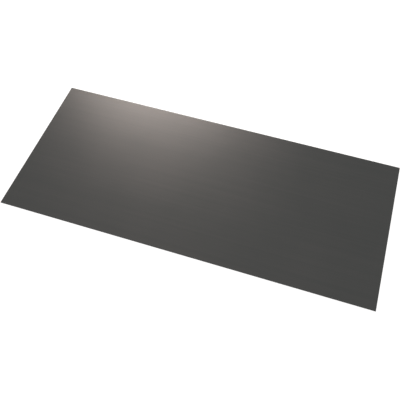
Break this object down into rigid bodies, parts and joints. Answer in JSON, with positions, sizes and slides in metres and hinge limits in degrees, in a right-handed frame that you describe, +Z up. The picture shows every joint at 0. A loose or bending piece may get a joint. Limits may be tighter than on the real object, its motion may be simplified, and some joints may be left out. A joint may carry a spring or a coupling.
{
  "type": "steel plate",
  "caption": "Flat rectangular blank of rolled mild steel with sheared edges, raw stock for cutting, bending, drilling or welding.",
  "frame": {"origin": "centre of the underside", "axes": "+X along the length, which is the rolling direction, +Y along the width, +Z up out of the top face"},
  "size_m": [0.9, 0.4, 0.0015],
  "materials": {
    "mild_steel": "bare rolled mild steel, dark grey, satin, with a fine grain along the rolling direction"
  },
  "bodies": {
    "root": {"steel_plate": "mild_steel"}
  },
  "joints": []
}
